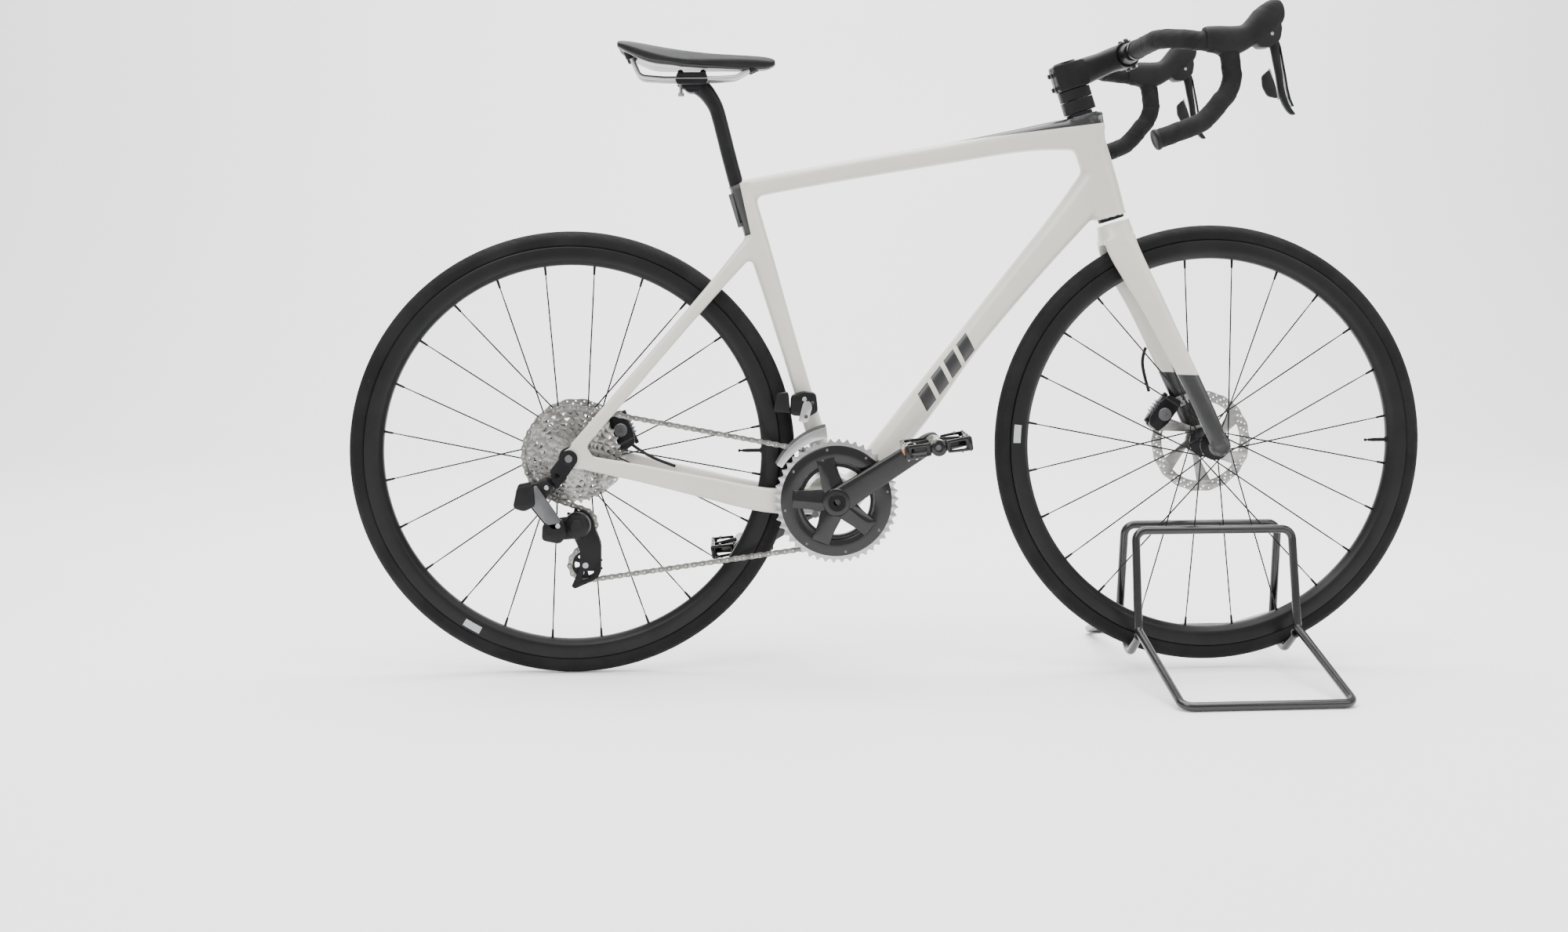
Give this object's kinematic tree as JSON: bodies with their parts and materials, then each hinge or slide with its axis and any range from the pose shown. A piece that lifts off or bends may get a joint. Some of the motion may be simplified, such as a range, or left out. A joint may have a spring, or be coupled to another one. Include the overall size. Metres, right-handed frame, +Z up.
{
  "type": "road bicycle on wheel stand",
  "caption": "Road bicycle with disc brakes, deep rims and drop bars, its front wheel held upright in a bent-tube floor stand.",
  "frame": {"origin": "on the floor, midway between the wheels, in the frame's mid plane", "axes": "+X forward along the bicycle, +Y to the rider's left, +Z up"},
  "size_m": [1.6628, 0.5683, 1.0013],
  "materials": {
    "frame_paint": "satin warm off-white paint on carbon laminate",
    "black_carbon": "satin black",
    "black_metal": "black anodised",
    "silver": "machined silver",
    "steel": "bare steel",
    "spoke_steel": "blackened stainless",
    "tyre_rubber": "matte black",
    "hood_rubber": "soft black",
    "bar_tape": "soft grainy black",
    "saddle_skin": "matte black",
    "stand_steel": "gloss black",
    "black_plastic": "fine grained"
  },
  "bodies": {
    "stand": {"stand_right_loop": "stand_steel", "stand_left_loop": "stand_steel", "stand_cradles": "stand_steel"},
    "frame": {"head_tube": "frame_paint", "top_tube": "frame_paint", "down_tube": "frame_paint", "seat_tube": "frame_paint", "bottom_bracket_shell": "frame_paint", "chainstays": "frame_paint", "seatstays": "frame_paint", "derailleur_hanger": "black_metal", "headset_bearings": "steel", "bottom_bracket_bearings": "steel", "frame_fasteners": "black_plastic", "rear_thru_axle": "black_metal", "rear_caliper": "black_metal", "rear_brake_hose": "black_plastic", "chain": "steel", "front_derailleur": "black_plastic", "rear_derailleur": "black_plastic", "rear_derailleur_cage": "black_plastic"},
    "fork": {"fork_crown": "frame_paint", "fork_legs": "frame_paint", "front_thru_axle": "black_metal", "front_caliper": "black_metal", "front_brake_hose": "black_plastic", "stem": "black_metal", "stem_faceplate": "black_metal", "headset_spacers": "black_plastic", "handlebar": "black_metal", "handlebar_tape": "bar_tape", "lever_hoods": "hood_rubber"},
    "right_brake": {"right_brake_lever": "black_metal"},
    "left_brake": {"left_brake_lever": "black_metal"},
    "right_shifter": {"right_shift_paddle": "black_plastic"},
    "left_shifter": {"left_shift_paddle": "black_plastic"},
    "front_wheel": {"front_tyre": "tyre_rubber", "front_rim": "black_carbon", "front_spokes": "spoke_steel", "front_hub": "black_metal", "front_rotor": "steel"},
    "rear_wheel": {"rear_tyre": "tyre_rubber", "rear_rim": "black_carbon", "rear_spokes": "spoke_steel", "rear_hub": "black_metal", "rear_rotor": "steel"},
    "cassette_body": {"cassette": "steel"},
    "crankset": {"right_crank_arm": "black_metal", "left_crank_arm": "black_metal", "outer_chainring": "silver", "inner_chainring": "silver", "pedal_axles": "steel"},
    "right_pedal_body": {"right_pedal": "black_plastic"},
    "left_pedal_body": {"left_pedal": "black_plastic"},
    "upper_pulley_body": {"upper_pulley": "black_plastic"},
    "lower_pulley_body": {"lower_pulley": "black_plastic"},
    "seat": {"seatpost": "black_carbon", "saddle_rails": "steel", "saddle_shell": "black_carbon", "saddle_cover": "saddle_skin"}
  },
  "joints": [
    {"name": "bike_lift", "type": "slide", "parent": "stand", "child": "frame", "axis": [0, 0, 1], "range_m": [0, 0.3]},
    {"name": "steering", "type": "hinge", "parent": "frame", "child": "fork", "pos_m": [0.44981, 0, 0.33923], "axis": [-0.3059, 0, 0.9521], "range_deg": [-0.6, 0.6]},
    {"name": "front_wheel_spin", "type": "hinge", "parent": "fork", "child": "front_wheel", "pos_m": [0.49259, 0.00247, 0.35298], "axis": [-0.0523, 0.9985, -0.0168], "continuous": true},
    {"name": "rear_wheel_spin", "type": "hinge", "parent": "frame", "child": "rear_wheel", "pos_m": [-0.49275, 0, 0.339], "axis": [0, 1, 0], "continuous": true},
    {"name": "crank_spin", "type": "hinge", "parent": "frame", "child": "crankset", "pos_m": [-0.09174, 0, 0.27069], "axis": [0, 1, 0], "continuous": true},
    {"name": "cassette_spin", "type": "hinge", "parent": "frame", "child": "cassette_body", "pos_m": [-0.49275, 0, 0.339], "axis": [0, 1, 0], "continuous": true},
    {"name": "upper_pulley_spin", "type": "hinge", "parent": "frame", "child": "upper_pulley_body", "pos_m": [-0.48124, -0.028, 0.23265], "axis": [0, 1, 0], "continuous": true},
    {"name": "lower_pulley_spin", "type": "hinge", "parent": "frame", "child": "lower_pulley_body", "pos_m": [-0.47236, -0.028, 0.17127], "axis": [0, 1, 0], "continuous": true},
    {"name": "right_pedal_spin", "type": "hinge", "parent": "crankset", "child": "right_pedal_body", "pos_m": [0.05081, -0.126, 0.36331], "axis": [0, 1, 0], "continuous": true},
    {"name": "left_pedal_spin", "type": "hinge", "parent": "crankset", "child": "left_pedal_body", "pos_m": [-0.23429, 0.126, 0.17807], "axis": [0, 1, 0], "continuous": true},
    {"name": "seatpost_height", "type": "slide", "parent": "frame", "child": "seat", "axis": [-0.2909, 0, 0.9567], "range_m": [-0.03, 0.05]},
    {"name": "right_brake_squeeze", "type": "hinge", "parent": "fork", "child": "right_brake", "pos_m": [0.51811, -0.19128, 0.95988], "axis": [-0.0523, 0.9985, -0.0168], "range_deg": [0, 20], "stiffness_Nm_per_rad": 0.5, "springref_deg": -8.59},
    {"name": "right_shift_press", "type": "hinge", "parent": "right_brake", "child": "right_shifter", "pos_m": [0.52659, -0.19203, 0.88909], "axis": [-0.3059, 0, 0.9521], "range_deg": [-10, 0], "stiffness_Nm_per_rad": 0.05},
    {"name": "left_brake_squeeze", "type": "hinge", "parent": "fork", "child": "left_brake", "pos_m": [0.49666, 0.2181, 0.95299], "axis": [-0.0523, 0.9985, -0.0168], "range_deg": [0, 20], "stiffness_Nm_per_rad": 0.5, "springref_deg": -8.59},
    {"name": "left_shift_press", "type": "hinge", "parent": "left_brake", "child": "left_shifter", "pos_m": [0.50514, 0.21735, 0.88219], "axis": [-0.3059, 0, 0.9521], "range_deg": [0, 10], "stiffness_Nm_per_rad": 0.05}
  ],
  "couplings": [
    {"joint": "cassette_spin", "follows": "crank_spin", "ratio": 0.91667},
    {"joint": "lower_pulley_spin", "follows": "crank_spin", "ratio": 2.75},
    {"joint": "upper_pulley_spin", "follows": "crank_spin", "ratio": -2.75}
  ]
}
